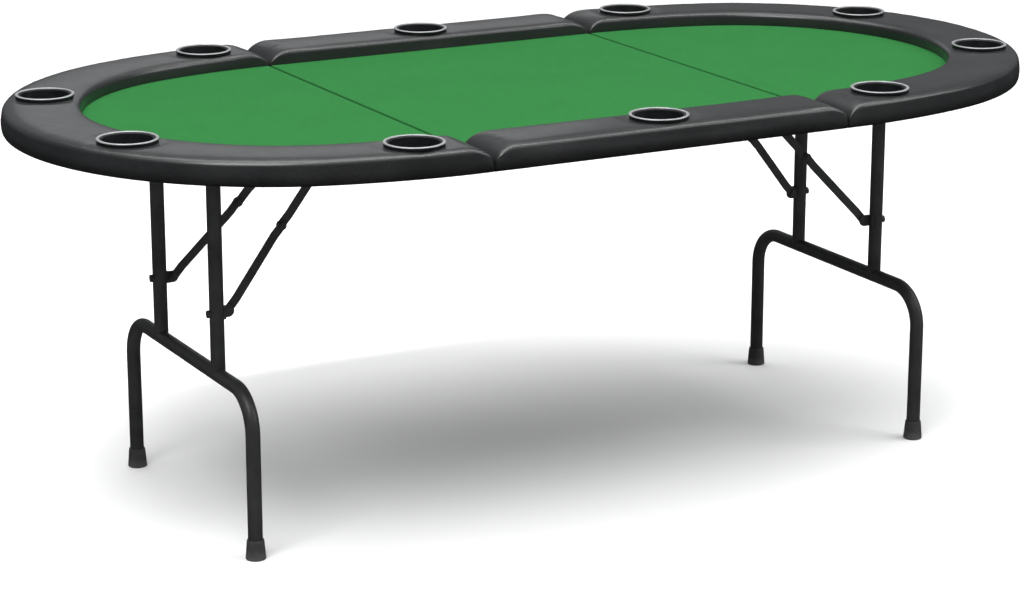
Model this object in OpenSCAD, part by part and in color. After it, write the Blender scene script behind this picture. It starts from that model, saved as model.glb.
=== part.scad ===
// Folding poker table: three hinged top panels, padded rail, ten drop-in cup
// holders and two braced leg frames that fold flat under the end panels.
// Origin: centre of the footprint, on the floor. +X along the length, +Z up.

/* [Table top] */
// Overall width of the oval top
table_w = 1060; // [950:10:1150]
// Height of the underside of the panels above the floor
under_z = 704; // [660:1:740]
// Half length of the centre panel, from the middle to a seam
seam_x = 355; // [300:1:420]
// Gap between two panels at a seam
seam_gap = 2; // [1:0.5:4]
// How much smaller the radius of each rounded end is than half the width
end_blend = 20; // [12:1:30]
// Thickness of the panel boards
board_t = 12; // [9:1:18]
// Thickness of the felt and its foam backing
felt_t = 6; // [2:0.5:8]

/* [Rail] */
// Width of the padded rail
rail_w = 130; // [100:1:140]
// Extra width of the rail at the tip of each end
end_extra = 14; // [0:1:16]
// Height of the rail from the underside to its top
rail_h = 46; // [36:1:60]
// Rounding of the rail's outer top edge
rail_ro = 20; // [8:1:24]
// Rounding of the rail's inner top edge
rail_ri = 16; // [6:1:18]
// Rounding of the rail ends at the seams
rail_end_r = 30; // [10:1:32]
// Thickness of the skirt that covers the board's edge
skirt_t = 8; // [4:1:12]

/* [Cup holders] */
// Radius of the hole cut for each cup
cup_hole_r = 46; // [42:0.5:48]
// Distance from the table's outer edge to the middle of each cup
cup_in = 68; // [60:1:72]
// Outer radius of the cup at its mouth
cup_r = 45; // [40:0.5:47]
// Depth of the cup below the top of the rail
cup_depth = 46; // [44:1:56]
// Wall thickness of the cup
cup_wall = 2; // [1.5:0.5:3]
// Height of the cup's black lip above the rail
lip_h = 4; // [2:0.5:5]
// Outer radius of the metal trim ring
ring_r = 53; // [50:0.5:56]

/* [Seam hinges] */
// Distance of each hinge from the middle of the seam
hinge_y = 200; // [120:5:320]
// Length of a hinge along the seam
hinge_len = 60; // [40:2:100]
// Radius of the hinge knuckles
knuckle_r = 4; // [3:0.5:6]
// Radius of the hinge pin
hinge_pin_r = 2; // [1.5:0.25:3]

/* [Leg frames] */
// Distance of each leg frame from the middle of the table
leg_x = 700; // [640:1:740]
// Outer radius of the steel tube
tube_r = 13; // [10:0.5:16]
// Wall thickness of the steel tube
tube_t = 1.5; // [1:0.25:3]
// Distance of each upright from the middle of the frame
upright_y = 134; // [100:1:180]
// Distance of each foot from the middle of the frame
foot_y = 282; // [240:1:320]
// Height of the middle of the cross bar above the floor
bar_z = 295; // [250:1:340]
// Bend radius of the foot tube, at the middle of the tube
bend_r = 70; // [50:1:90]
// Outer radius of the rubber foot cap at the floor
cap_r = 18; // [16:0.5:24]
// Height of the rubber foot cap
cap_h = 36; // [25:1:50]

/* [Folding braces] */
// Depth of the leg pivot below the underside
pivot_drop = 40; // [30:1:50]
// Radius of the leg pivot rod
rod_r = 6; // [4:0.5:8]
// Distance of the brace anchor from the leg frame, towards the middle
anchor_x = 274; // [220:1:300]
// Depth of the brace anchor below the underside
anchor_drop = 16; // [12:1:24]
// Height of the brace pivot on the upright above the floor
brace_z = 408; // [380:1:440]
// Width of a brace link
link_w = 16; // [12:1:20]
// Thickness of a brace link and of the brackets
link_t = 3; // [2:0.5:4]
// Radius of the brace rivets
rivet_r = 4; // [3:0.5:5]

/* [Hidden] */
$fn = 64;
half_w = table_w / 2;
board_z = under_z + board_t;
felt_z = board_z + felt_t;
rail_z = under_z + rail_h;
panel_x = seam_x + seam_gap / 2;
// A shoulder arc starts at each seam, tangent to the straight side. It meets the end arc on a
// line through both centres whose slope is 24 in 7, so that the two arcs share a tangent.
end_r = half_w - end_blend;
end_x = seam_x + 7 * end_blend;
shoulder_r = half_w + 24 * end_blend;
shoulder_y = shoulder_r - half_w;
end_long = end_x + end_r - rail_w - seam_x;
meet_a = atan2(24, 7);
fit = 0.4;
cup_a_end = 27.5;
cup_a_side = 7;
pivot_z = under_z - pivot_drop;
anchor_z = under_z - anchor_drop;
// The brace pivot stands off the upright so that the folded brace lies level with its anchor.
brace_off = pivot_drop - anchor_drop;
brace_dx = anchor_x - brace_off;
brace_dz = anchor_z - brace_z;
brace_len = norm([brace_dx, brace_dz]);
fold_gap = anchor_x - (pivot_z - brace_z);
upper_len = (brace_len + fold_gap) / 2;
lower_len = (brace_len - fold_gap) / 2;
brace_a = atan2(brace_dz, brace_dx);
hinge_z = under_z - knuckle_r - 1;
run = 0.05;
anchor_y = 72;
knuckle_y = 98;
lower_y = 124;
far = 3000;

cup_at = [
    [0, -half_w + cup_in],
    [0, half_w - cup_in],
    for (sx = [-1, 1], sy = [-1, 1]) [
        sx * (seam_x + (shoulder_r - cup_in) * sin(cup_a_side)),
        sy * ((shoulder_r - cup_in) * cos(cup_a_side) - shoulder_y)
    ],
    for (sx = [-1, 1], sy = [-1, 1]) [
        sx * (end_x + (end_r - cup_in) * cos(cup_a_end) - end_extra / 2),
        sy * (end_r - cup_in) * sin(cup_a_end)
    ]
];

// ---- shared shapes ----

// Outline of the right end panel, moved in from the edge of the top by n.
module end_outline(n) {
    meet_x = end_x + (end_r - n) * 7 / 25;
    intersection() {
        translate([end_x, 0]) circle(end_r - n, $fn = 240);
        translate([meet_x, -far / 2]) square([far, far]);
    }
    intersection() {
        translate([seam_x, -shoulder_y]) circle(shoulder_r - n, $fn = 360);
        translate([seam_x, shoulder_y]) circle(shoulder_r - n, $fn = 360);
        translate([panel_x, -far / 2]) square([meet_x - panel_x, far]);
    }
}

module centre_outline(n) {
    x = seam_x - seam_gap / 2;
    translate([-x, -half_w + n]) square([2 * x, 2 * (half_w - n)]);
}

// Holes for the cups whose numbers lie from first to last.
module cup_holes(first, last) {
    for (i = [first:last])
        translate([cup_at[i].x, cup_at[i].y, under_z - 10]) cylinder(r = cup_hole_r, h = rail_h + 20);
}

// Section of the rail: x is the distance in from the outer edge, y is the height.
module rail_section() {
    difference() {
        union() {
            translate([0, under_z]) square([rail_w, rail_h - rail_ro]);
            translate([rail_ro, under_z]) square([rail_w - rail_ro - rail_ri, rail_h]);
            translate([rail_ro, under_z]) square([rail_w - rail_ro, rail_h - rail_ri]);
            translate([rail_ro, rail_z - rail_ro]) circle(rail_ro);
            translate([rail_w - rail_ri, rail_z - rail_ri]) circle(rail_ri);
        }
        translate([skirt_t, under_z - 1]) square([rail_w, board_t + 1]);
    }
}

// The section as points, for the rail that follows the end of the top.
function rail_points() = let (steps = 6) [
    [0, under_z],
    for (i = [0:steps]) [
        rail_ro * (1 - cos(90 * i / steps)),
        rail_z - rail_ro * (1 - sin(90 * i / steps))
    ],
    for (i = [0:steps - 1]) [
        rail_w - rail_ri * (1 - sin(90 * i / (steps - 1))),
        rail_z - rail_ri * (1 - cos(90 * i / (steps - 1)))
    ],
    [rail_w, board_z],
    [skirt_t - fit, board_z],
    [skirt_t - fit, under_z]
];

// Stations along the edge of the end panel: centre, radius and direction of each arc.
function end_stations(shoulder_n, end_n) = [
    for (i = [0:shoulder_n]) [seam_x, shoulder_y, shoulder_r, -90 + (90 - meet_a) * i / shoulder_n],
    for (i = [1:end_n]) [end_x, 0, end_r, meet_a * (2 * i / end_n - 1)],
    for (i = [1:shoulder_n]) [seam_x, -shoulder_y, shoulder_r, meet_a + (90 - meet_a) * i / shoulder_n]
];

// Place of a point n in from the edge at station p. The rail grows wider towards the tip, so
// inside its skirt the point moves back towards the seam in step with its distance from it.
function end_place(p, n) = let (
    x = p[0] + (p[2] - n) * cos(p[3]),
    share = max(0, n - skirt_t) / (rail_w - skirt_t)
) [x - (x - seam_x) * end_extra / end_long * share, p[1] + (p[2] - n) * sin(p[3])];

// Cutter that rounds the top of a rail end that starts at x and runs in +X.
module end_rounder(x) {
    translate([0, far / 2, 0]) rotate([90, 0, 0]) linear_extrude(far)
        difference() {
            translate([x - 5, rail_z - rail_end_r]) square([rail_end_r + 5, rail_end_r + 5]);
            translate([x + rail_end_r, rail_z - rail_end_r]) circle(rail_end_r);
        }
}

module straight_rail() {
    x = seam_x - seam_gap / 2;
    difference() {
        translate([-x, -half_w, 0]) rotate([90, 0, 90]) linear_extrude(2 * x) rail_section();
        end_rounder(-x);
        mirror([1, 0, 0]) end_rounder(-x);
    }
}

module end_rail() {
    section = rail_points();
    path = end_stations(8, 44);
    n = len(section);
    m = len(path);
    points = [for (p = path, q = section) let (at = end_place(p, q.x)) [at.x, at.y, q.y]];
    sides = [for (i = [0:m - 2], k = [0:n - 1]) let (k2 = (k + 1) % n)
        [i * n + k, i * n + k2, (i + 1) * n + k2, (i + 1) * n + k]];
    ends = [[for (k = [n - 1:-1:0]) k], [for (k = [0:n - 1]) (m - 1) * n + k]];
    difference() {
        polyhedron(points, concat(sides, ends));
        translate([panel_x - 50, -far / 2, 0]) cube([50, far, far]);
        end_rounder(panel_x);
    }
}

module cup(i) {
    z0 = rail_z - cup_depth;
    color([0.09, 0.09, 0.095]) translate([cup_at[i - 1].x, cup_at[i - 1].y, 0]) rotate_extrude()
        polygon([
            [0, z0], [cup_r - 4, z0], [cup_r - 2, z0 + 2], [cup_r, rail_z], [ring_r - 1, rail_z],
            [ring_r - 1, rail_z + lip_h], [cup_r - 1, rail_z + lip_h],
            [cup_r - cup_wall, rail_z + lip_h - 1],
            [cup_r - 2 - cup_wall, z0 + 2 + cup_wall], [0, z0 + cup_wall]
        ]);
}

module cup_ring(i) {
    z1 = rail_z + lip_h;
    color([0.72, 0.73, 0.74]) translate([cup_at[i - 1].x, cup_at[i - 1].y, 0]) rotate_extrude()
        polygon([
            [cup_r + 0.5, z1], [ring_r, z1], [ring_r, z1 + 1.2], [ring_r - 1.4, z1 + 2.6],
            [ring_r - 3.6, z1 + 3.1], [cup_r + 2.3, z1 + 2.3], [cup_r + 0.5, z1 + 1]
        ]);
}

// One hinge leaf on the +X side of the axis, with knuckles at the given slots of three.
module hinge_leaf(slots) {
    third = hinge_len / 3;
    translate([knuckle_r + 1, -hinge_len / 2, knuckle_r - 1]) difference() {
        cube([32, hinge_len, 2]);
        for (y = [0.2, 0.8]) translate([18, hinge_len * y, -1]) cylinder(r = 2.2, h = 4);
    }
    difference() {
        union() for (k = slots) {
            y = -hinge_len / 2 + k * third + 0.25;
            translate([0, y, 0]) rotate([-90, 0, 0]) cylinder(r = knuckle_r, h = third - 0.5);
            translate([0, y, knuckle_r - 1]) cube([knuckle_r + 2, third - 0.5, 1]);
            translate([1.5, y, knuckle_r - 1]) cube([knuckle_r + 0.5, third - 0.5, 2]);
        }
        translate([0, -hinge_len, 0]) rotate([-90, 0, 0])
            cylinder(r = hinge_pin_r + (len(slots) == 1 ? run : 0), h = 2 * hinge_len);
    }
    for (y = [0.2, 0.8])
        translate([knuckle_r + 19, hinge_len * (y - 0.5), knuckle_r - 2]) cylinder(r = 4, h = 1);
    for (y = [0.2, 0.8])
        translate([knuckle_r + 19, hinge_len * (y - 0.5), knuckle_r - 2]) cylinder(r = 2.2, h = 3);
}

module fixed_leaves() {
    color([0.5, 0.5, 0.51]) for (y = [-hinge_y, hinge_y])
        translate([seam_x, y, hinge_z]) mirror([1, 0, 0]) hinge_leaf([0, 2]);
}

module moving_leaves() {
    color([0.5, 0.5, 0.51]) for (y = [-hinge_y, hinge_y])
        translate([seam_x, y, hinge_z]) hinge_leaf([1]);
}

module hinge_pins() {
    color([0.6, 0.6, 0.61]) for (y = [-hinge_y, hinge_y])
        translate([seam_x, y - hinge_len / 2 - 1, hinge_z]) rotate([-90, 0, 0])
            cylinder(r = hinge_pin_r, h = hinge_len + 2);
}

// Upright of the right frame on the +Y side, coped over the cross bar.
module upright() {
    color([0.17, 0.17, 0.172]) difference() {
        translate([leg_x, upright_y, bar_z]) cylinder(r = tube_r, h = pivot_z + 20 - bar_z);
        translate([leg_x, upright_y, bar_z - 1]) cylinder(r = tube_r - tube_t, h = pivot_z + 22 - bar_z);
        translate([leg_x, -far / 2, bar_z]) rotate([-90, 0, 0]) cylinder(r = tube_r, h = far);
        translate([leg_x, 0, pivot_z]) rotate([-90, 0, 0]) cylinder(r = rod_r, h = far);
        translate([leg_x - 50, upright_y, brace_z]) rotate([0, 90, 0]) cylinder(r = 3, h = 100);
    }
}

// Tube bent into an inverted U: solid when inner is 0, otherwise its bore.
module foot_tube(r, over) {
    straight = foot_y - bend_r;
    translate([leg_x, -straight, bar_z]) rotate([-90, 0, 0]) cylinder(r = r, h = 2 * straight);
    for (s = [0, 1]) mirror([0, s, 0]) {
        translate([leg_x, foot_y, 6 - over]) cylinder(r = r, h = bar_z - bend_r - 6 + over);
        translate([leg_x, straight, bar_z - bend_r]) rotate([90, 0, 90])
            rotate_extrude(angle = 90) translate([bend_r, 0]) circle(r);
    }
}

module foot_bar() {
    color([0.17, 0.17, 0.172]) difference() {
        foot_tube(tube_r, 0);
        foot_tube(tube_r - tube_t, 1);
    }
}

module foot_caps() {
    color([0.22, 0.22, 0.22]) for (y = [-foot_y, foot_y]) translate([leg_x, y, 0])
        rotate_extrude() polygon([
            [0, 0], [cap_r - 1, 0], [cap_r, 1.5], [cap_r - 0.5, 8], [tube_r + 2.5, cap_h - 3],
            [tube_r + 1.5, cap_h], [tube_r, cap_h], [tube_r, 6], [0, 6]
        ]);
}

module pivot_rod() {
    color([0.5, 0.5, 0.51]) translate([leg_x, -upright_y - 30, pivot_z])
        rotate([-90, 0, 0]) cylinder(r = rod_r, h = 2 * upright_y + 60);
}

// Ear brackets under the panel that carry the ends of the pivot rod.
module pivot_brackets() {
    y0 = upright_y + 22;
    color([0.2, 0.2, 0.2]) for (s = [0, 1]) mirror([0, s, 0]) {
        difference() {
            union() {
                translate([leg_x - 18, y0, pivot_z]) cube([36, link_t, pivot_drop]);
                translate([leg_x, y0, pivot_z]) rotate([-90, 0, 0]) cylinder(r = 18, h = link_t);
                translate([leg_x - 18, y0, under_z - link_t]) cube([36, 40, link_t]);
            }
            translate([leg_x, 0, pivot_z]) rotate([-90, 0, 0]) cylinder(r = rod_r + run, h = far);
        }
        for (x = [-10, 10], y = [16, 32])
            translate([leg_x + x, y0 + y, under_z - link_t - 1.5]) cylinder(r = 4, h = 2);
    }
}

// Ear brackets under the panel that carry the upper ends of the braces.
module anchor_brackets() {
    x = leg_x - anchor_x;
    y0 = anchor_y + link_t + 1;
    color([0.2, 0.2, 0.2]) for (s = [0, 1]) mirror([0, s, 0]) {
        translate([x - 12, y0, anchor_z]) cube([24, link_t, anchor_drop]);
        translate([x, y0, anchor_z]) rotate([-90, 0, 0]) cylinder(r = 12, h = link_t);
        translate([x - 12, y0, under_z - link_t]) cube([24, 34, link_t]);
        translate([x, anchor_y - 4, anchor_z]) rotate([-90, 0, 0]) cylinder(r = rivet_r, h = 8);
        translate([x, anchor_y - 4, anchor_z]) rotate([-90, 0, 0]) cylinder(r = 7, h = 3);
        for (y = [14, 27])
            translate([x, y0 + y, under_z - link_t - 1.5]) cylinder(r = 4, h = 2);
    }
}

// Saddle, ear, rivet and through bolt that hold the lower end of each brace to its upright.
module link_brackets() {
    x = leg_x - brace_off;
    color([0.2, 0.2, 0.2]) for (s = [0, 1]) mirror([0, s, 0]) {
        difference() {
            union() {
                translate([x, lower_y + 4, brace_z - 11]) cube([brace_off, link_t, 22]);
                translate([x, lower_y + 4, brace_z]) rotate([-90, 0, 0]) cylinder(r = 11, h = link_t);
                translate([leg_x - 15, lower_y + 4, brace_z - 11]) cube([7, 14, 22]);
            }
            translate([leg_x, upright_y, brace_z - 50]) cylinder(r = tube_r, h = 100);
        }
        translate([x, lower_y - 4, brace_z]) rotate([-90, 0, 0]) cylinder(r = rivet_r, h = 9);
        translate([x, lower_y - 4, brace_z]) rotate([-90, 0, 0]) cylinder(r = 7, h = 3);
        translate([leg_x - 14, upright_y, brace_z]) rotate([0, 90, 0]) cylinder(r = 3, h = 30);
        translate([leg_x + tube_r - 1, upright_y, brace_z]) rotate([0, 90, 0])
            difference() {
                cylinder(r = 7, h = 6);
                translate([0, 0, 1 - tube_r]) rotate([0, -90, 0]) translate([0, 0, -20]) cylinder(r = tube_r, h = 40);
            }
    }
}

// Flat link with a jog: runs along +X from its first eye at y0 to its second eye at y1.
module jog_link(l, y0, y1, hole) {
    e = link_w / 2 + 1;
    intersection() {
        translate([0, 0, -e]) linear_extrude(2 * e) polygon([
            [-e, y0], [24, y0], [l - 24, y1], [l + e, y1],
            [l + e, y1 + link_t], [l - 24, y1 + link_t], [24, y0 + link_t], [-e, y0 + link_t]
        ]);
        translate([0, 200, 0]) rotate([90, 0, 0]) linear_extrude(400) difference() {
            union() {
                circle(e);
                translate([l, 0]) circle(e);
                translate([0, -link_w / 2]) square([l, link_w]);
            }
            circle(hole);
        }
    }
}

module lower_link() {
    color([0.17, 0.17, 0.172]) translate([leg_x - brace_off, 0, brace_z]) rotate([0, brace_a - 180, 0]) {
        jog_link(lower_len, lower_y, knuckle_y, rivet_r + run);
        translate([lower_len, knuckle_y + 1, 0]) rotate([-90, 0, 0]) cylinder(r = 5.5, h = 4.5);
    }
}

module upper_link() {
    color([0.17, 0.17, 0.172]) translate([leg_x - anchor_x, 0, anchor_z]) rotate([0, brace_a, 0]) {
        jog_link(upper_len, anchor_y, knuckle_y - link_t - 1, rivet_r + run);
        translate([upper_len, knuckle_y - 7, 0]) rotate([-90, 0, 0]) cylinder(r = 5.5, h = 4.5);
    }
}

// ---- one module per sub-part ----

module centre_board() {
    color([0.13, 0.12, 0.12]) difference() {
        translate([0, 0, under_z]) linear_extrude(board_t) centre_outline(skirt_t);
        cup_holes(0, 1);
    }
}

module right_board() {
    color([0.13, 0.12, 0.12]) difference() {
        translate([0, 0, under_z]) linear_extrude(board_t) end_outline(skirt_t);
        cup_holes(4, 5);
        cup_holes(8, 9);
    }
}

module left_board() { mirror([1, 0, 0]) right_board(); }

module centre_felt() {
    color([0.26, 0.57, 0.31]) translate([0, 0, board_z]) linear_extrude(felt_t) centre_outline(rail_w);
}

module right_felt() {
    color([0.26, 0.57, 0.31]) translate([0, 0, board_z]) linear_extrude(felt_t) intersection() {
        polygon([for (p = end_stations(8, 44)) end_place(p, rail_w + fit)]);
        translate([panel_x, -far / 2]) square([far, far]);
    }
}

module left_felt() { mirror([1, 0, 0]) right_felt(); }

module rail_front() {
    color([0.2, 0.2, 0.205]) difference() {
        straight_rail();
        cup_holes(0, 0);
    }
}

module rail_back() { mirror([0, 1, 0]) rail_front(); }

module rail_right() {
    color([0.2, 0.2, 0.205]) difference() {
        end_rail();
        cup_holes(4, 5);
        cup_holes(8, 9);
    }
}

module rail_left() { mirror([1, 0, 0]) rail_right(); }

module cup_01() { cup(1); }
module cup_02() { cup(2); }
module cup_03() { cup(3); }
module cup_04() { cup(4); }
module cup_05() { cup(5); }
module cup_06() { cup(6); }
module cup_07() { cup(7); }
module cup_08() { cup(8); }
module cup_09() { cup(9); }
module cup_10() { cup(10); }
module cup_ring_01() { cup_ring(1); }
module cup_ring_02() { cup_ring(2); }
module cup_ring_03() { cup_ring(3); }
module cup_ring_04() { cup_ring(4); }
module cup_ring_05() { cup_ring(5); }
module cup_ring_06() { cup_ring(6); }
module cup_ring_07() { cup_ring(7); }
module cup_ring_08() { cup_ring(8); }
module cup_ring_09() { cup_ring(9); }
module cup_ring_10() { cup_ring(10); }

module right_hinge_fixed_leaves() { fixed_leaves(); }
module right_hinge_moving_leaves() { moving_leaves(); }
module right_hinge_pins() { hinge_pins(); }
module left_hinge_fixed_leaves() { mirror([1, 0, 0]) fixed_leaves(); }
module left_hinge_moving_leaves() { mirror([1, 0, 0]) moving_leaves(); }
module left_hinge_pins() { mirror([1, 0, 0]) hinge_pins(); }

module right_upright_back() { upright(); }
module right_upright_front() { mirror([0, 1, 0]) upright(); }
module right_foot_bar() { foot_bar(); }
module right_foot_caps() { foot_caps(); }
module right_pivot_rod() { pivot_rod(); }
module right_pivot_brackets() { pivot_brackets(); }
module right_anchor_brackets() { anchor_brackets(); }
module right_link_brackets() { link_brackets(); }
module right_lower_link_back() { lower_link(); }
module right_lower_link_front() { mirror([0, 1, 0]) lower_link(); }
module right_upper_link_back() { upper_link(); }
module right_upper_link_front() { mirror([0, 1, 0]) upper_link(); }

module left_upright_back() { mirror([1, 0, 0]) right_upright_back(); }
module left_upright_front() { mirror([1, 0, 0]) right_upright_front(); }
module left_foot_bar() { mirror([1, 0, 0]) right_foot_bar(); }
module left_foot_caps() { mirror([1, 0, 0]) right_foot_caps(); }
module left_pivot_rod() { mirror([1, 0, 0]) right_pivot_rod(); }
module left_pivot_brackets() { mirror([1, 0, 0]) right_pivot_brackets(); }
module left_anchor_brackets() { mirror([1, 0, 0]) right_anchor_brackets(); }
module left_link_brackets() { mirror([1, 0, 0]) right_link_brackets(); }
module left_lower_link_back() { mirror([1, 0, 0]) right_lower_link_back(); }
module left_lower_link_front() { mirror([1, 0, 0]) right_lower_link_front(); }
module left_upper_link_back() { mirror([1, 0, 0]) right_upper_link_back(); }
module left_upper_link_front() { mirror([1, 0, 0]) right_upper_link_front(); }

centre_board();
left_board();
right_board();
centre_felt();
left_felt();
right_felt();
rail_front();
rail_back();
rail_left();
rail_right();
cup_01();
cup_02();
cup_03();
cup_04();
cup_05();
cup_06();
cup_07();
cup_08();
cup_09();
cup_10();
cup_ring_01();
cup_ring_02();
cup_ring_03();
cup_ring_04();
cup_ring_05();
cup_ring_06();
cup_ring_07();
cup_ring_08();
cup_ring_09();
cup_ring_10();
left_hinge_fixed_leaves();
left_hinge_moving_leaves();
left_hinge_pins();
right_hinge_fixed_leaves();
right_hinge_moving_leaves();
right_hinge_pins();
left_upright_front();
left_upright_back();
left_foot_bar();
left_foot_caps();
left_pivot_rod();
left_pivot_brackets();
left_anchor_brackets();
left_link_brackets();
left_lower_link_front();
left_lower_link_back();
left_upper_link_front();
left_upper_link_back();
right_upright_front();
right_upright_back();
right_foot_bar();
right_foot_caps();
right_pivot_rod();
right_pivot_brackets();
right_anchor_brackets();
right_link_brackets();
right_lower_link_front();
right_lower_link_back();
right_upper_link_front();
right_upper_link_back();
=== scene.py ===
"""Looks of the folding poker table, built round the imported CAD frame."""
import math

import bmesh
import bpy
from mathutils import Matrix, Vector, noise


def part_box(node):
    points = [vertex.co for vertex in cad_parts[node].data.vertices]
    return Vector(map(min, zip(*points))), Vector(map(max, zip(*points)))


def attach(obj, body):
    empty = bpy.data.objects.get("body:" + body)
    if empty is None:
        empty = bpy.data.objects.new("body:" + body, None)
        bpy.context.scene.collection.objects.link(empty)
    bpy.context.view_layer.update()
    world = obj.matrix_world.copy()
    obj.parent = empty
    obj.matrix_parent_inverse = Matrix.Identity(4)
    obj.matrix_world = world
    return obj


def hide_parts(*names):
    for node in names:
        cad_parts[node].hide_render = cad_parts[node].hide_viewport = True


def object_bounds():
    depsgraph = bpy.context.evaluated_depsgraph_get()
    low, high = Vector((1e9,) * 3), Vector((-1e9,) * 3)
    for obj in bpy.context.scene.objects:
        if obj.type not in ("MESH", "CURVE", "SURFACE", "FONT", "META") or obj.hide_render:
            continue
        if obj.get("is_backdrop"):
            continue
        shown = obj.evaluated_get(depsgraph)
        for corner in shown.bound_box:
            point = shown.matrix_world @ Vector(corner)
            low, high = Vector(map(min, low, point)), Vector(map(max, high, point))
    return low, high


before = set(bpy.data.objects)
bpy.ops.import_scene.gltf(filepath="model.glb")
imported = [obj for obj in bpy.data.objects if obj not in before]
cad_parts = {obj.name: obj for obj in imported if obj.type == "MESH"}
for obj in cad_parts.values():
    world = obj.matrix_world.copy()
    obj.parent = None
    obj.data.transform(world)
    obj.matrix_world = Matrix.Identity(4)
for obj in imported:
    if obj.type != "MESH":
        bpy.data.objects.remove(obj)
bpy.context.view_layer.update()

# ---------------------------------------------------------------- sizes of the top, as in the CAD
HALF_W = 0.530                      # half the table's width
SEAM_X = 0.355                      # from the table's middle to a seam
BLEND = 0.020                       # how much smaller an end's radius is than half the width
END_R = HALF_W - BLEND
END_X = SEAM_X + 7 * BLEND          # middle of the end's arc
SHOULDER_R = HALF_W + 24 * BLEND    # the large arcs that lead from the sides into an end
SHOULDER_Y = SHOULDER_R - HALF_W
MEET_A = math.atan2(24, 7)          # direction in which a shoulder meets the end's arc
TIP_X = END_X + END_R
RAIL_W = 0.130
SKIRT_T = 0.008                     # the part of the rail that hangs outside the boards
FIT = 0.0004                        # gap between the felt and the rail
UNDER_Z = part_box("centre_board")[0][2]
BOARD_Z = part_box("centre_board")[1][2]
FELT_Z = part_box("centre_felt")[1][2]
RAIL_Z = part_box("rail_front")[1][2]
END_EXTRA = TIP_X - RAIL_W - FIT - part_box("right_felt")[1][0]   # extra width of the rail at a tip

# ---------------------------------------------------------------- how the covers sit on the top
PAD_GAP = 0.0004                    # from a seam to the pad on either side of it
PANEL_X = SEAM_X + PAD_GAP          # where the pad of an end panel starts
SKIN = 0.0004                       # from the leather to the board, and up from the underside
SIDE_IN = 0.0013                    # the leather's side, in from the table's edge
SIDE_BULGE = 0.0007                 # how far that side swells out
TOP_DROP = 0.0028                   # the edges of the leather's top, below the CAD's rail top
CROWN = 0.0022                      # how far the top swells up between its edges
OUT_ROUND, IN_ROUND = 0.0085, 0.0080    # rounding of the top's outer and inner edges
OUT_SOFTER, IN_SOFTER = 0.0020, 0.001   # what a tip adds to them
HEM_R = 0.0060                      # height of the leather's turn at its lower edge
HEM_FLAT = 0.75                     # how deep that turn is for its height
HEM_START = 0.0058                  # where it starts underneath, in from the table's edge
FLAT_IN = 0.0012                    # from the inner rounding to the rail's inner edge
FELT_SIDE = 0.0010                  # from the leather's inner side to the rail's inner edge
TUCK = 0.0016                       # from the leather's lower inner corner to that edge
PINCH_H = 0.0045                    # height above the board where the felt's edge holds it
END_LONG = 0.044                    # length over which a pad rounds down towards a seam
END_DROP = 0.031                    # height of the part that rounds down
END_PULL = 0.004                    # how far the sides draw in at the very end
END_LEAST = 0.05                    # share of its height that the rounded part keeps there
STATION_STEP = 0.0085               # distance between sections along a pad
END_ZONE = 0.046                    # the stretch at each end that has closer sections, as follows
NEAR_END = (0.0, 0.0014, 0.0040, 0.0075, 0.0120, 0.0175, 0.0240, 0.0310, 0.0385)
CUP_CUT_R = 0.0465                  # radius of the hole that a cup drops through
FELT_IN = RAIL_W - 0.0012           # where the felt ends, just under the rail's inner edge
FELT_GAP = 0.0002                   # from a seam to the felt on either side of it
ROLL = 0.0048                       # how far the felt rolls down at a seam

CUPS = [f"cup_{i:02d}" for i in range(1, 11)]
CUP_AT = {}
for name in CUPS:
    low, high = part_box(name)
    CUP_AT[name] = ((low[0] + high[0]) / 2, (low[1] + high[1]) / 2)


# ---------------------------------------------------------------- camera
CAMERA_AT = (-2.587, -4.731, 1.834)
CAMERA_DOWN, CAMERA_TURN = 15.75, -28.29    # degrees: below level, and about the vertical
FILM_W, LENS, FAR_CLIP = 36, 103.3, 60


def make_camera():
    """A long lens that looks down at the table past its front left corner."""
    data = bpy.data.cameras.new("camera")
    camera = bpy.data.objects.new("camera", data)
    bpy.context.scene.collection.objects.link(camera)
    data.sensor_width = FILM_W
    data.lens = LENS
    data.clip_end = FAR_CLIP
    camera.location = CAMERA_AT
    camera.rotation_euler = (math.radians(90 - CAMERA_DOWN), 0, math.radians(CAMERA_TURN))
    bpy.context.scene.camera = camera


make_camera()


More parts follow.
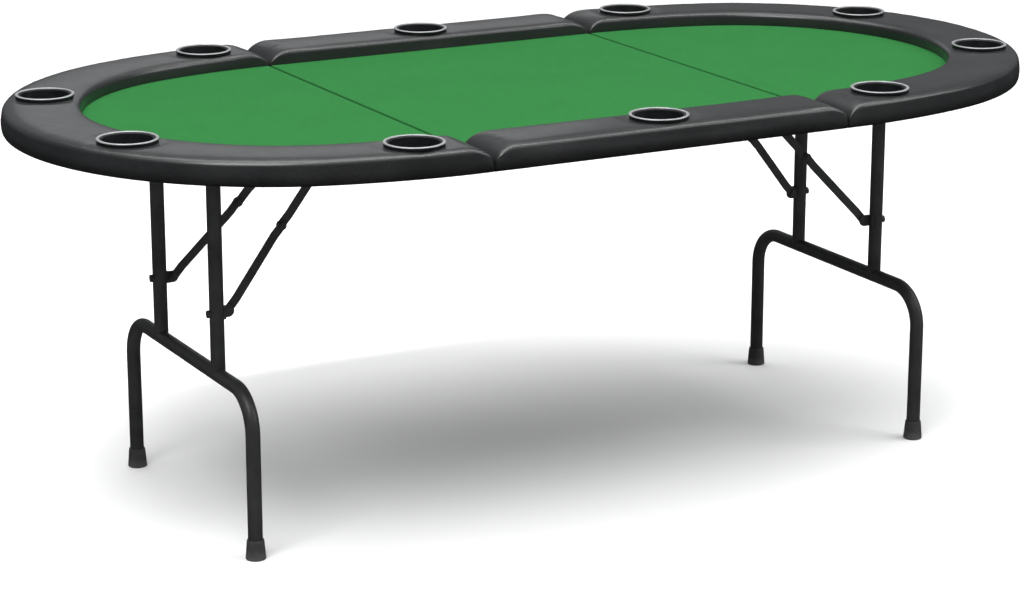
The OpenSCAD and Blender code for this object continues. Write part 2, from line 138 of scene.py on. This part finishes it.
# ---------------------------------------------------------------- materials
class Nodes:
    """A short way to write a node tree: each call adds a node and links its inputs."""

    def __init__(self, name):
        self.material = bpy.data.materials.new(name)
        self.material.use_nodes = True
        self.tree = self.material.node_tree
        self.tree.nodes.clear()
        self.out = self.tree.nodes.new("ShaderNodeOutputMaterial")
        self.place = self.add("ShaderNodeTexCoord").outputs["Object"]

    def add(self, kind, inputs=None, **settings):
        node = self.tree.nodes.new(kind)
        for key, value in settings.items():
            setattr(node, key, value)
        for key, value in (inputs or {}).items():
            socket = node.inputs[key]
            if isinstance(value, bpy.types.NodeSocket):
                self.tree.links.new(value, socket)
            else:
                socket.default_value = value
        return node

    def noise(self, scale, detail=3.0, rough=0.5, vector=None):
        node = self.add(
            "ShaderNodeTexNoise",
            {"Vector": vector or self.place, "Scale": scale, "Detail": detail, "Roughness": rough},
        )
        return node.outputs["Fac"]

    def stretched(self, x, y, z):
        node = self.add("ShaderNodeMapping", {"Vector": self.place, "Scale": (x, y, z)})
        return node.outputs["Vector"]

    def along(self, axis):
        return self.add("ShaderNodeSeparateXYZ", {"Vector": self.place}).outputs[axis]

    def cells(self, scale, feature="F1"):
        node = self.add("ShaderNodeTexVoronoi", {"Vector": self.place, "Scale": scale}, feature=feature)
        return node.outputs["Distance"]

    def ramp(self, value, low, high, start=0.3, end=0.7):
        node = self.add("ShaderNodeValToRGB", {"Fac": value})
        first, last = node.color_ramp.elements
        first.position, last.position = start, end
        first.color, last.color = (*low, 1), (*high, 1)
        return node.outputs["Color"]

    def span(self, value, low, high, start=0.0, end=1.0):
        node = self.add(
            "ShaderNodeMapRange",
            {"Value": value, "From Min": start, "From Max": end, "To Min": low, "To Max": high},
        )
        return node.outputs["Result"]

    def maths(self, operation, a, b=0.0):
        return self.add("ShaderNodeMath", {0: a, 1: b}, operation=operation).outputs[0]

    def tinted(self, colour, by):
        inputs = {"Factor": 1.0, "A": colour, "B": by}
        return self.add("ShaderNodeMix", inputs, data_type="RGBA", blend_type="MULTIPLY").outputs["Result"]

    def bump(self, height, strength, distance, under=None):
        inputs = {"Height": height, "Strength": strength, "Distance": distance}
        if under is not None:
            inputs["Normal"] = under
        return self.add("ShaderNodeBump", inputs).outputs["Normal"]

    def finish(self, **inputs):
        shader = self.add("ShaderNodeBsdfPrincipled", {k.replace("_", " "): v for k, v in inputs.items()})
        self.tree.links.new(shader.outputs["BSDF"], self.out.inputs["Surface"])
        return self.material


PAINTED_HEM_SHADE_H = 0.022     # height above the underside in which painted shade darkens the leather towards its hem
PAINTED_SEAM_SHADE_W = 0.01     # distance from a seam in which painted shade darkens the felt towards it
SCUFF_H = 0.018         # height above the floor in which the foot caps are scuffed


def leather():
    """Black faux leather: pebbled grain with creases, a little uneven in tone and gloss, with painted shade
    in the grain's pits and towards the hem.
    """
    n = Nodes("black_leather")
    pebbles = n.cells(470)
    creases = n.cells(260, "DISTANCE_TO_EDGE")
    pores = n.noise(1900, 2)
    height = n.maths("ADD", n.maths("MULTIPLY", pebbles, -0.6), n.maths("MULTIPLY", pores, 0.35))
    grain = n.bump(height, 0.42, 0.0008)
    folds = n.bump(n.span(creases, 0, 1, 0, 0.12), 0.18, 0.0004, grain)
    soft = n.bump(height, 0.16, 0.0008)
    tone = n.ramp(n.noise(9, 4), (0.0090, 0.0096, 0.0102), (0.0150, 0.0157, 0.0164))
    # Painted shade: the colour darkens towards the underside, standing in for the shade under the rail.
    above_hem = n.span(n.along("Z"), 0, 1, UNDER_Z, UNDER_Z + PAINTED_HEM_SHADE_H)
    painted_hem_shade = n.ramp(above_hem, (0.18, 0.18, 0.18), (1, 1, 1), 0.0, 0.9)
    # Painted shade: the colour darkens in the pits between the pebbles.
    painted_pit_shade = n.ramp(pebbles, (1.0, 1.0, 1.0), (0.62, 0.62, 0.62), 0.25, 0.6)
    return n.finish(
        Base_Color=n.tinted(n.tinted(tone, painted_hem_shade), painted_pit_shade),
        Roughness=n.span(n.noise(14, 5), 0.40, 0.52, 0.3, 0.7), Normal=folds,
        Specular_IOR_Level=0.24, Coat_Weight=0.56, Coat_Roughness=0.18, Coat_Normal=soft,
    )


def felt():
    """Green felt: short fibres, a faint nap, slightly uneven dye and painted shade darkening it at each
    seam.
    """
    n = Nodes("green_felt")
    fibre = n.noise(1500, 2, 0.7, n.stretched(1.0, 2.6, 1.0))
    cross = n.noise(1300, 2, 0.7, n.stretched(2.4, 1.0, 1.0))
    clumps = n.noise(120, 5, 0.6)
    nap = n.noise(7, 4, 0.6)
    height = n.maths("ADD", n.maths("MULTIPLY", fibre, 0.5), n.maths("MULTIPLY", cross, 0.5))
    normal = n.bump(n.maths("ADD", height, n.maths("MULTIPLY", clumps, 0.4)), 0.45, 0.0006)
    dye = n.ramp(nap, (0.0175, 0.116, 0.0278), (0.0183, 0.121, 0.0294), 0.35, 0.65)
    depth = n.maths("MULTIPLY", fibre, clumps)
    fleck = n.ramp(depth, (0.84, 0.87, 0.85), (1.08, 1.07, 1.08), 0.12, 0.42)
    # Painted shade: the colour darkens close to each seam, standing in for the shade in the gap between the
    # panels.
    from_seam = n.maths("ABSOLUTE", n.maths("SUBTRACT", n.maths("ABSOLUTE", n.along("X")), SEAM_X))
    near_seam = n.span(from_seam, 0, 1, 0, PAINTED_SEAM_SHADE_W)
    painted_seam_shade = n.ramp(near_seam, (0.33, 0.42, 0.35), (1, 1, 1), 0.18, 0.52)
    return n.finish(
        Base_Color=n.tinted(n.tinted(dye, fleck), painted_seam_shade),
        Roughness=n.span(clumps, 0.86, 0.98), Normal=normal,
        Specular_IOR_Level=0.06, Sheen_Weight=0.03, Sheen_Roughness=0.5, Sheen_Tint=(0.3, 0.85, 0.4, 1),
    )


def satin_metal():
    """Spun satin metal of the cup rings, with fine turning marks."""
    n = Nodes("satin_metal")
    marks = n.noise(2600, 2, 0.6, n.stretched(1, 1, 6))
    rub = n.noise(40, 4)
    return n.finish(
        Base_Color=n.ramp(rub, (0.25, 0.255, 0.26), (0.32, 0.325, 0.33)), Metallic=0.55,
        Roughness=n.span(rub, 0.42, 0.54, 0.3, 0.7), Normal=n.bump(marks, 0.12, 0.0002),
    )


def black_plastic():
    """Moulded black plastic of the cups: even, fine spark texture, faint scuffs."""
    n = Nodes("black_plastic")
    spark = n.noise(2200, 3, 0.7)
    scuff = n.noise(35, 6, 0.7)
    return n.finish(
        Base_Color=n.ramp(scuff, (0.0035, 0.0042, 0.0048), (0.0065, 0.0072, 0.008)),
        Roughness=n.span(scuff, 0.42, 0.60, 0.3, 0.7), Normal=n.bump(spark, 0.2, 0.0003),
        Specular_IOR_Level=0.22,
    )


def powder_coat():
    """Black powder coat on steel tube: fine orange peel, a few dull rubs."""
    n = Nodes("powder_coat")
    peel = n.noise(900, 3, 0.55)
    rub = n.noise(26, 6, 0.7)
    return n.finish(
        Base_Color=n.ramp(rub, (0.0175, 0.0175, 0.0180), (0.0270, 0.0270, 0.0275), 0.35, 0.7),
        Roughness=n.span(rub, 0.32, 0.48, 0.3, 0.7), Normal=n.bump(peel, 0.22, 0.0004),
        Specular_IOR_Level=0.24,
    )


def zinc():
    """Zinc-plated steel of the hinges and pivot rods: spangle and light drawing marks."""
    n = Nodes("zinc_plate")
    spangle = n.cells(240)
    drawn = n.noise(700, 3, 0.6, n.stretched(1, 0.08, 1))
    return n.finish(
        Base_Color=n.ramp(spangle, (0.42, 0.43, 0.45), (0.56, 0.57, 0.58), 0.1, 0.8), Metallic=1.0,
        Roughness=n.span(drawn, 0.28, 0.44), Normal=n.bump(drawn, 0.15, 0.0002),
    )


def rubber():
    """Dull dark rubber of the foot caps, greyed where it scuffs on the floor."""
    n = Nodes("cap_rubber")
    dust = n.noise(70, 6, 0.7)
    near_floor = n.span(n.along("Z"), 0.35, 0.0, 0.0, SCUFF_H)
    mixed = n.maths("ADD", n.maths("MULTIPLY", dust, 0.75), near_floor)
    return n.finish(
        Base_Color=n.ramp(mixed, (0.022, 0.022, 0.022), (0.075, 0.073, 0.07), 0.35, 0.9),
        Roughness=n.span(dust, 0.62, 0.82), Normal=n.bump(n.noise(1400, 2), 0.2, 0.0003),
    )


def board():
    """Black laminate on the fibreboard panels, with a faint printed grain."""
    n = Nodes("panel_laminate")
    streak = n.noise(60, 5, 0.6, n.stretched(0.06, 1, 1))
    pit = n.noise(1200, 2)
    return n.finish(
        Base_Color=n.ramp(streak, (0.013, 0.0125, 0.0125), (0.026, 0.025, 0.024)),
        Roughness=n.span(streak, 0.48, 0.62), Normal=n.bump(pit, 0.2, 0.0003),
    )


LEATHER, FELT, RING, CUP = leather(), felt(), satin_metal(), black_plastic()
STEEL, ZINC, RUBBER, BOARD = powder_coat(), zinc(), rubber(), board()

# The first word that a node's name holds decides its material. Any other node is coated steel.
MADE_OF = (
    ("board", BOARD), ("felt", FELT), ("rail_", LEATHER), ("cup_ring", RING), ("cup_", CUP),
    ("hinge", ZINC), ("pivot_rod", ZINC), ("foot_caps", RUBBER),
)


def node_material(name):
    for word, material in MADE_OF:
        if word in name:
            return material
    return STEEL


for name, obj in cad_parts.items():
    for slot in obj.material_slots:
        slot.material = node_material(name)


# ---------------------------------------------------------------- mesh helpers
def smooth_faces(mesh):
    for polygon in mesh.polygons:
        polygon.use_smooth = True


def new_mesh(name, points, faces, material, body):
    """A smooth piece that rides a body, in the given material."""
    mesh = bpy.data.meshes.new(name)
    mesh.from_pydata(points, [], faces)
    mesh.validate()
    mesh.update()
    obj = bpy.data.objects.new(name, mesh)
    bpy.context.scene.collection.objects.link(obj)
    mesh.materials.append(material)
    smooth_faces(mesh)
    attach(obj, body)
    return obj


def apply_modifiers(obj):
    """Replaces the object's mesh by what its modifiers make of it."""
    graph = bpy.context.evaluated_depsgraph_get()
    mesh = bpy.data.meshes.new_from_object(obj.evaluated_get(graph), depsgraph=graph)
    obj.modifiers.clear()
    obj.data = mesh
    smooth_faces(mesh)


def smooth_step(t):
    t = min(1.0, max(0.0, t))
    return t * t * (3 - 2 * t)


def quarter(count):
    """The angles of a quarter turn, in equal steps."""
    return [math.radians(90 * i / count) for i in range(count + 1)]


def quarter_rise(d, long):
    """Height, from 0 to 1, of a quarter round at a distance d from its start."""
    return math.sqrt(max(0.0, 1 - (1 - min(1.0, d / long)) ** 2))


def towards_seam(x, inset):
    """Moves a point of an end back towards the seam, as the rail grows wider towards the tip."""
    share = max(0.0, inset - SKIRT_T) / (RAIL_W - SKIRT_T)
    return x - (x - SEAM_X) * END_EXTRA / (TIP_X - RAIL_W - SEAM_X) * share


# ---------------------------------------------------------------- padded rail
def edge_stations(kind):
    """Points along the outer edge of a rail piece, with the direction towards the table's middle."""
    if kind == "straight":
        x0 = SEAM_X - PAD_GAP
        count = round(2 * x0 / STATION_STEP)
        return [((-x0 + 2 * x0 * i / count, -HALF_W), (0.0, 1.0)) for i in range(count + 1)]
    start = -math.acos((PANEL_X - SEAM_X) / SHOULDER_R)
    arcs = [
        (SEAM_X, SHOULDER_Y, SHOULDER_R, start, -MEET_A),
        (END_X, 0.0, END_R, -MEET_A, MEET_A),
        (SEAM_X, -SHOULDER_Y, SHOULDER_R, MEET_A, -start),
    ]
    found = []
    for x, y, r, a0, a1 in arcs:
        count = max(2, round(r * (a1 - a0) / STATION_STEP))
        for i in range(1 if found else 0, count + 1):
            a = a0 + (a1 - a0) * i / count
            found.append(((x + r * math.cos(a), y + r * math.sin(a)), (-math.cos(a), -math.sin(a))))
    return found


def on_edge(stations, length, s):
    """Place and inward direction at a distance s along the edge."""
    k = max(i for i in range(len(length)) if length[i] <= s + 1e-9)
    k = min(k, len(length) - 2)
    t = (s - length[k]) / (length[k + 1] - length[k])
    return [[p + (q - p) * t for p, q in zip(a, b)] for a, b in zip(stations[k], stations[k + 1])]


def rail_section(out_r, in_r):
    """Section of the pad as (distance in from the edge, height, is it held down) round a closed loop."""
    held, free = True, False
    top = RAIL_Z - TOP_DROP
    hem_z, side_z, over_board = UNDER_Z + SKIN, UNDER_Z + HEM_R, BOARD_Z + SKIN
    loop = [(HEM_START, hem_z, held)]
    for i, a in enumerate(quarter(4)[1:]):
        n = SIDE_IN + HEM_R * HEM_FLAT * (1 - math.sin(a))
        loop.append((n, hem_z + HEM_R * (1 - math.cos(a)), held if i < 2 else free))
    for i in range(1, 4):
        bulge = SIDE_BULGE * math.sin(math.pi * i / 4)
        loop.append((SIDE_IN - bulge, side_z + (top - out_r - UNDER_Z - HEM_R) * i / 4, free))
    for a in quarter(7):
        loop.append((SIDE_IN + out_r * (1 - math.cos(a)), top - out_r * (1 - math.sin(a)), free))
    flat0, flat1 = SIDE_IN + out_r, RAIL_W - FLAT_IN - in_r
    for i in range(1, 12):
        t = i / 12
        loop.append((flat0 + (flat1 - flat0) * t, top + CROWN * math.sin(math.pi * t) ** 0.8, free))
    for a in quarter(6):
        loop.append((flat1 + in_r * math.sin(a), top - in_r * (1 - math.cos(a)), free))
    loop += [
        (RAIL_W - FELT_SIDE, (top - in_r + BOARD_Z) / 2 + 0.002, free),
        (RAIL_W - FELT_SIDE, BOARD_Z + PINCH_H, held),
        (RAIL_W - TUCK, BOARD_Z + 0.0006, held),
    ]
    for i in range(1, 8):
        loop.append((RAIL_W - TUCK - (RAIL_W - SKIRT_T - TUCK) * i / 8, over_board, held))
    loop += [
        (SKIRT_T - 0.0004, over_board, held),
        (SKIRT_T - 0.0004, UNDER_Z + 0.005, held),
        (SKIRT_T - 0.0008, UNDER_Z + 0.0006, held),
    ]
    return loop


def close_end(points, faces, held, base, count, last):
    """Closes one end of a pad with two smaller rings and a flat middle."""
    loop = list(range(base, base + count))
    middle = sum((Vector(points[i]) for i in loop), Vector()) / count
    for shrink in (0.75, 0.45):
        inner = []
        for i in range(base, base + count):
            points.append(tuple(middle + (Vector(points[i]) - middle) * shrink))
            held.append(held[i] or points[i][2] < BOARD_Z)
            inner.append(len(points) - 1)
        for k in range(count):
            k2 = (k + 1) % count
            quad = (loop[k], loop[k2], inner[k2], inner[k])
            faces.append(quad[::-1] if last else quad)
        loop = inner
    faces.append(tuple(loop[::-1] if last else loop))


def rail_mesh(kind, mirror_x, mirror_y):
    """Rings of the section along the edge. Towards each end the pad rounds over like a loaf."""
    stations = edge_stations(kind)
    length = [0.0]
    for (a, _), (b, _) in zip(stations, stations[1:]):
        length.append(length[-1] + math.dist(a, b))
    total = length[-1]
    between = [s for s in length if END_ZONE < s < total - END_ZONE]
    places = sorted({*NEAR_END, *(total - s for s in NEAR_END), *between})
    base = RAIL_Z - END_DROP
    points, faces, held = [], [], []
    for s in places:
        (x, y), (nx, ny) = on_edge(stations, length, s)
        rise = quarter_rise(min(s, total - s), END_LONG)
        # 1 round the tip of an end, and 0 near its seam
        tip = smooth_step(1.25 - 2.5 * abs(s / total - 0.5)) if kind == "end" else 0.0
        section = rail_section(OUT_ROUND + OUT_SOFTER * tip, IN_ROUND + IN_SOFTER * tip)
        for n, z, is_held in section:
            if z >= base:
                z = base + (z - base) * max(rise, END_LEAST)
            n += END_PULL * (1 - rise) * (1 - n / (RAIL_W / 2))
            far = x + nx * n
            points.append((towards_seam(far, n) if kind == "end" else far, y + ny * n, z))
            held.append(is_held)
    count, last_ring = len(section), len(places) - 1
    for i in range(last_ring):
        for k in range(count):
            k2 = (k + 1) % count
            faces.append((i * count + k, (i + 1) * count + k, (i + 1) * count + k2, i * count + k2))
    close_end(points, faces, held, 0, count, last=False)
    close_end(points, faces, held, last_ring * count, count, last=True)
    if mirror_x:
        points = [(-x, y, z) for x, y, z in points]
    if mirror_y:
        points = [(x, -y, z) for x, y, z in points]
    if mirror_x != mirror_y:
        faces = [f[::-1] for f in faces]
    return points, faces, held


CLOTH = {
    "quality": 4, "mass": 0.4, "tension_stiffness": 12, "compression_stiffness": 12,
    "shear_stiffness": 5, "bending_stiffness": 4, "vertex_group_mass": "held",
    "use_pressure": True, "uniform_pressure_force": 3.0,
}
CLOTH_FRAMES = 14
CLOTH_CAP = 0.0014      # no vertex ends up further than this from where it started


def stuff(pads):
    """Blows the leather out over its foam with a cloth simulation, then keeps the move as plain vertices."""
    scene = bpy.context.scene
    scene.frame_start, scene.frame_end = 1, CLOTH_FRAMES
    starts = {}
    for pad, held in pads:
        starts[pad.name] = [v.co.copy() for v in pad.data.vertices]
        group = pad.vertex_groups.new(name="held")
        group.add([i for i, h in enumerate(held) if h], 1.0, "REPLACE")
        cloth = pad.modifiers.new("cloth", "CLOTH")
        for key, value in CLOTH.items():
            setattr(cloth.settings, key, value)
        cloth.settings.effector_weights.gravity = 0
        cloth.collision_settings.use_collision = False
        cloth.point_cache.frame_start, cloth.point_cache.frame_end = 1, CLOTH_FRAMES
    for f in range(1, CLOTH_FRAMES + 1):
        scene.frame_set(f)
    graph = bpy.context.evaluated_depsgraph_get()
    for pad, _ in pads:
        moved = [v.co.copy() for v in pad.evaluated_get(graph).data.vertices]
        pad.modifiers.clear()
        pad.vertex_groups.clear()
        for v, a, b in zip(pad.data.vertices, starts[pad.name], moved):
            d = b - a
            size = d.length
            if size > 1e-9:
                v.co = a + d * (CLOTH_CAP * math.tanh(size / CLOTH_CAP) / size)
    scene.frame_set(1)


LOOSE_ABOVE = BOARD_Z + 0.012       # the leather is uneven from here up
UNEVEN = 0.00045                    # height of its waves
PUCKER = 0.00030                    # depth of the puckers round a cup
CUP_REACH = 0.085                   # the leather feels a cup this far from its middle
COLLAR_R, COLLAR_FADE = 0.056, 0.026    # drawn down out to here, and less and less beyond
COLLAR_Z = RAIL_Z - 0.0008          # no leather stands higher than this at a cup's collar
RIM_R, RIM_FADE = 0.046, 0.012      # puckers start here, and reach their full depth beyond


def settle_round_cups(pad):
    """Draws the leather down to each cup's collar and adds the slight unevenness of hand stretching."""
    for v in pad.data.vertices:
        x, y, z = v.co
        if z < LOOSE_ABOVE:
            continue
        wave = noise.noise(Vector((x * 9, y * 9, z * 14))) + 0.5 * noise.noise(Vector((x * 23, y * 23, 3.1)))
        z += UNEVEN * wave
        for cx, cy in CUP_AT.values():
            r = math.hypot(x - cx, y - cy)
            if r < CUP_REACH:
                near = 1 - smooth_step((r - COLLAR_R) / COLLAR_FADE)
                if z > COLLAR_Z:
                    z = z + (COLLAR_Z - z) * near
                angle = math.atan2(y - cy, x - cx)
                pucker = math.sin(angle * 11 + cx * 40) * math.sin(angle * 7 + cy * 31)
                ringed = near * smooth_step((r - RIM_R) / RIM_FADE)
                z -= PUCKER * ringed * (1 + pucker)
        v.co.z = z


def cut_cups(pad):
    """Cuts the round holes that the cups drop into."""
    low = [min(v.co[i] for v in pad.data.vertices) for i in (0, 1)]
    high = [max(v.co[i] for v in pad.data.vertices) for i in (0, 1)]
    turn = Matrix.Rotation(0.057, 3, "Z")   # keeps the cutter's edges off the pad's own
    work = bmesh.new()
    for cx, cy in CUP_AT.values():
        if low[0] < cx < high[0] and low[1] < cy < high[1]:
            made = bmesh.ops.create_cone(
                work, cap_ends=True, segments=72, radius1=CUP_CUT_R, radius2=CUP_CUT_R, depth=0.12,
            )
            bmesh.ops.rotate(work, verts=made["verts"], cent=(0, 0, 0), matrix=turn)
            bmesh.ops.translate(work, verts=made["verts"], vec=(cx, cy, RAIL_Z))
    mesh = bpy.data.meshes.new("cutter")
    work.to_mesh(mesh)
    work.free()
    cutter = bpy.data.objects.new("cutter", mesh)
    bpy.context.scene.collection.objects.link(cutter)
    cut = pad.modifiers.new("cut", "BOOLEAN")
    cut.operation, cut.solver, cut.object = "DIFFERENCE", "EXACT", cutter
    apply_modifiers(pad)
    bpy.data.objects.remove(cutter)


# node, body, kind of edge, mirrored in x, mirrored in y
RAILS = (
    ("rail_front", "centre_panel", "straight", False, False),
    ("rail_back", "centre_panel", "straight", False, True),
    ("rail_right", "right_panel", "end", False, False),
    ("rail_left", "left_panel", "end", True, False),
)


def make_rails():
    pads = []
    for node, body, kind, mirror_x, mirror_y in RAILS:
        points, faces, held = rail_mesh(kind, mirror_x, mirror_y)
        pad = new_mesh(f"{node}_pad", points, faces, LEATHER, body)
        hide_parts(node)
        pads.append((pad, held))
    stuff(pads)
    for pad, _ in pads:
        rounder = pad.modifiers.new("round", "SUBSURF")
        rounder.levels = rounder.render_levels = 1
        apply_modifiers(pad)
        settle_round_cups(pad)
        cut_cups(pad)


make_rails()


# ---------------------------------------------------------------- cup rings
RING_W = 0.0058
RING_TALL = 0.75        # of the CAD ring's height
RING_LIFT = 0.0001      # from the rail's top to the ring
RING_WALL = 0.0007      # height at which its dome starts
RING_SIDES = 96


def make_ring(number):
    """Domed satin ring round the cup's mouth."""
    node = f"cup_ring_{number:02d}"
    low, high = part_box(node)
    cx, cy = (low[0] + high[0]) / 2, (low[1] + high[1]) / 2
    outer, z = (high[0] - low[0]) / 2, low[2]
    tall = RING_TALL * (high[2] - z)
    section = [(outer - RING_W, z + RING_LIFT)]
    for i in range(9):
        a = math.pi * i / 8
        r = outer - RING_W / 2 - math.cos(a) * RING_W / 2
        section.append((r, z + RING_WALL + (tall - RING_WALL - RING_LIFT) * math.sin(a) ** 0.8))
    section.append((outer - 0.0001, z + RING_LIFT))
    count = len(section)
    points, faces = [], []
    for k in range(RING_SIDES):
        a = 2 * math.pi * k / RING_SIDES
        points += [(cx + r * math.cos(a), cy + r * math.sin(a), h) for r, h in section]
        k2 = (k + 1) % RING_SIDES
        for i in range(count):
            i2 = (i + 1) % count
            faces.append((k * count + i, k * count + i2, k2 * count + i2, k2 * count + i))
    ring = new_mesh(f"{node}_turned", points, faces, RING, f"cup_{number:02d}_body")
    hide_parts(node)


for number in range(1, 11):
    make_ring(number)


# ---------------------------------------------------------------- felt
NEAR_SEAM = (0.0, 0.0005, 0.0014, 0.0028, 0.0048, 0.007, 0.011, 0.02)
PAST_SEAM = 0.035       # from the seam to the first of the wider rows
CALM = 0.03             # the felt is quite flat this close to its edges
FELT_DROP = 0.0002      # the felt's top, below the CAD's
FELT_WAVE = 0.0003      # height of its waves
FELT_FOOT = 0.0002      # from the board to the felt's underside


def felt_half_width(x):
    """Half the felt's width at a distance x from the table's middle."""
    if x <= SEAM_X:
        return HALF_W - FELT_IN
    meet_x = END_X + (END_R - FELT_IN) * math.cos(MEET_A)
    if x < meet_x:
        return math.sqrt((SHOULDER_R - FELT_IN) ** 2 - (x - SEAM_X) ** 2) - SHOULDER_Y
    return math.sqrt(max(0.0, (END_R - FELT_IN) ** 2 - (x - END_X) ** 2))


def seam_roll(d):
    """How far the cloth has rolled down at a distance d from a cut edge."""
    return ROLL * (1 - quarter_rise(d, ROLL))


def felt_rows(side):
    """Where the felt's rows lie along the table, and where its cut edge is."""
    if side == "centre":
        edge = SEAM_X - FELT_GAP
        rows = [-edge + d for d in NEAR_SEAM]
        rows += [-edge + PAST_SEAM + (2 * edge - 2 * PAST_SEAM) * i / 40 for i in range(41)]
        return rows + [edge - d for d in reversed(NEAR_SEAM)], edge
    edge, tip = SEAM_X + FELT_GAP, END_X + END_R - FELT_IN
    rows = [edge + d for d in NEAR_SEAM]
    return rows + [edge + PAST_SEAM + (tip - edge - PAST_SEAM) * math.sin(a) for a in quarter(36)], edge


def make_felt(side, body):
    """Cloth drawn over foam: rolled down at the seams, a barely uneven top, tucked under the rail."""
    xs, edge = felt_rows(side)
    across = [math.sin(math.radians(90 * (j / 24 - 1))) for j in range(49)]
    sign = -1 if side == "left" else 1
    points, faces = [], []
    for x in xs:
        half = felt_half_width(abs(x))
        d = edge - abs(x) if side == "centre" else x - edge
        placed_x = x if side == "centre" else towards_seam(x, FELT_IN)
        for t in across:
            y = half * t
            wave = noise.noise(Vector((sign * x * 3.1, y * 3.1, 7.7)))
            calm = smooth_step(d / CALM) * smooth_step((half - abs(y)) / CALM)
            z = FELT_Z - FELT_DROP - seam_roll(d) + FELT_WAVE * wave * calm
            points.append((sign * placed_x, y, z))
    wide, last = len(across), len(xs) - 1
    for i in range(last):
        for j in range(wide - 1):
            faces.append((i * wide + j, (i + 1) * wide + j, (i + 1) * wide + j + 1, i * wide + j + 1))
    rim = list(range(wide)) + [i * wide + wide - 1 for i in range(1, last + 1)]
    rim += [last * wide + j for j in range(wide - 2, -1, -1)]
    rim += [i * wide for i in range(last - 1, 0, -1)]
    under = len(points)
    points += [(points[i][0], points[i][1], BOARD_Z + FELT_FOOT) for i in rim]
    for k in range(len(rim)):
        k2 = (k + 1) % len(rim)
        faces.append((rim[k], rim[k2], under + k2, under + k))
    faces.append(tuple(range(under, under + len(rim))))
    cloth = new_mesh(f"{side}_felt_cloth", points, faces, FELT, body)
    merge = bmesh.new()
    merge.from_mesh(cloth.data)
    bmesh.ops.remove_doubles(merge, verts=merge.verts, dist=1e-6)
    bmesh.ops.recalc_face_normals(merge, faces=merge.faces)
    if merge.calc_volume(signed=True) < 0:
        bmesh.ops.reverse_faces(merge, faces=merge.faces)
    merge.to_mesh(cloth.data)
    merge.free()
    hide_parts(f"{side}_felt")


for side in ("left", "centre", "right"):
    make_felt(side, f"{side}_panel")


# ---------------------------------------------------------------- floor, light, world
FLOOR_HALF = 30

# The grey of the room at each height, from straight down (0) to straight up (1).
ROOM = ((0.40, 0.03), (0.50, 0.09), (0.635, 0.26), (0.72, 0.11), (0.80, 0.16), (0.94, 1.6))
COOL = 0.045            # tint of the room below its bright ceiling

# name, place, aim (a lamp without one points straight down), size, watts
LAMPS = (
    ("key", (-2.6, -2.2, 4.4), (0, 0, 0.5), (2.8, 2.8), 205),
    ("fill", (3.8, -2.8, 3.4), (0, 0, 0.4), (3.2, 3.2), 130),
    ("top", (0.0, 1.4, 4.6), (0, 0, 0.5), (3.2, 3.2), 70),
    ("strip", (0.6, -0.6, 4.8), None, (6.5, 0.34), 120),
    ("back", (2.0, 5.8, 2.6), (-0.6, 0, 0.7), (2.6, 1.8), 7),
)


def make_world():
    """White to the camera. What the object reflects is graded, and brightest overhead."""
    world = bpy.data.worlds.new("studio")
    bpy.context.scene.world = world
    world.use_nodes = True
    tree = world.node_tree
    place = tree.nodes.new("ShaderNodeTexCoord")
    split = tree.nodes.new("ShaderNodeSeparateXYZ")
    lift = tree.nodes.new("ShaderNodeMapRange")
    ramp = tree.nodes.new("ShaderNodeValToRGB")
    path = tree.nodes.new("ShaderNodeLightPath")
    pick = tree.nodes.new("ShaderNodeMix")
    pick.data_type = "RGBA"
    lift.inputs["From Min"].default_value = -1.0
    stops = ramp.color_ramp.elements
    stops[0].position, stops[1].position = ROOM[0][0], ROOM[-1][0]
    for height, _ in ROOM[1:-1]:
        stops.new(height)
    for stop, (_, grey) in zip(stops, ROOM):
        cool = 0.0 if grey > 1 else COOL
        stop.color = (grey * (1 - cool), grey, grey * (1 + cool), 1)
    chance, ray, camera_sees = pick.inputs[0], pick.inputs[6], pick.inputs[7]
    links = (
        (place.outputs["Generated"], split.inputs["Vector"]),
        (split.outputs["Z"], lift.inputs["Value"]),
        (lift.outputs["Result"], ramp.inputs["Fac"]),
        (path.outputs["Is Camera Ray"], chance),
        (ramp.outputs["Color"], ray),
        (pick.outputs[2], tree.nodes["Background"].inputs["Color"]),
    )
    for source, target in links:
        tree.links.new(source, target)
    camera_sees.default_value = (1, 1, 1, 1)


def make_floor():
    """Pale floor, which the object's gloss doesn't mirror."""
    a = FLOOR_HALF
    mesh = bpy.data.meshes.new("floor")
    mesh.from_pydata([(-a, -a, 0), (a, -a, 0), (a, a, 0), (-a, a, 0)], [], [(0, 1, 2, 3)])
    floor = bpy.data.objects.new("floor", mesh)
    bpy.context.scene.collection.objects.link(floor)
    n = Nodes("pale_floor")
    mesh.materials.append(n.finish(
        Base_Color=n.ramp(n.noise(0.6, 2), (0.93, 0.93, 0.93), (0.95, 0.95, 0.95)),
        Roughness=0.9, Specular_IOR_Level=0.1,
    ))
    floor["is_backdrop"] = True
    floor.visible_glossy = False


def make_lamps():
    for name, place, aim, size, watts in LAMPS:
        data = bpy.data.lights.new(name, "AREA")
        data.shape, data.size, data.size_y, data.energy = "RECTANGLE", size[0], size[1], watts
        lamp = bpy.data.objects.new(name, data)
        lamp.location = place
        lamp.visible_camera = False
        if aim is not None:
            towards = Vector(aim) - Vector(place)
            lamp.rotation_euler = towards.to_track_quat("-Z", "Y").to_euler()
        bpy.context.scene.collection.objects.link(lamp)


make_floor()
make_world()
make_lamps()
bpy.context.scene.view_settings.view_transform = "Standard"

low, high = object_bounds()
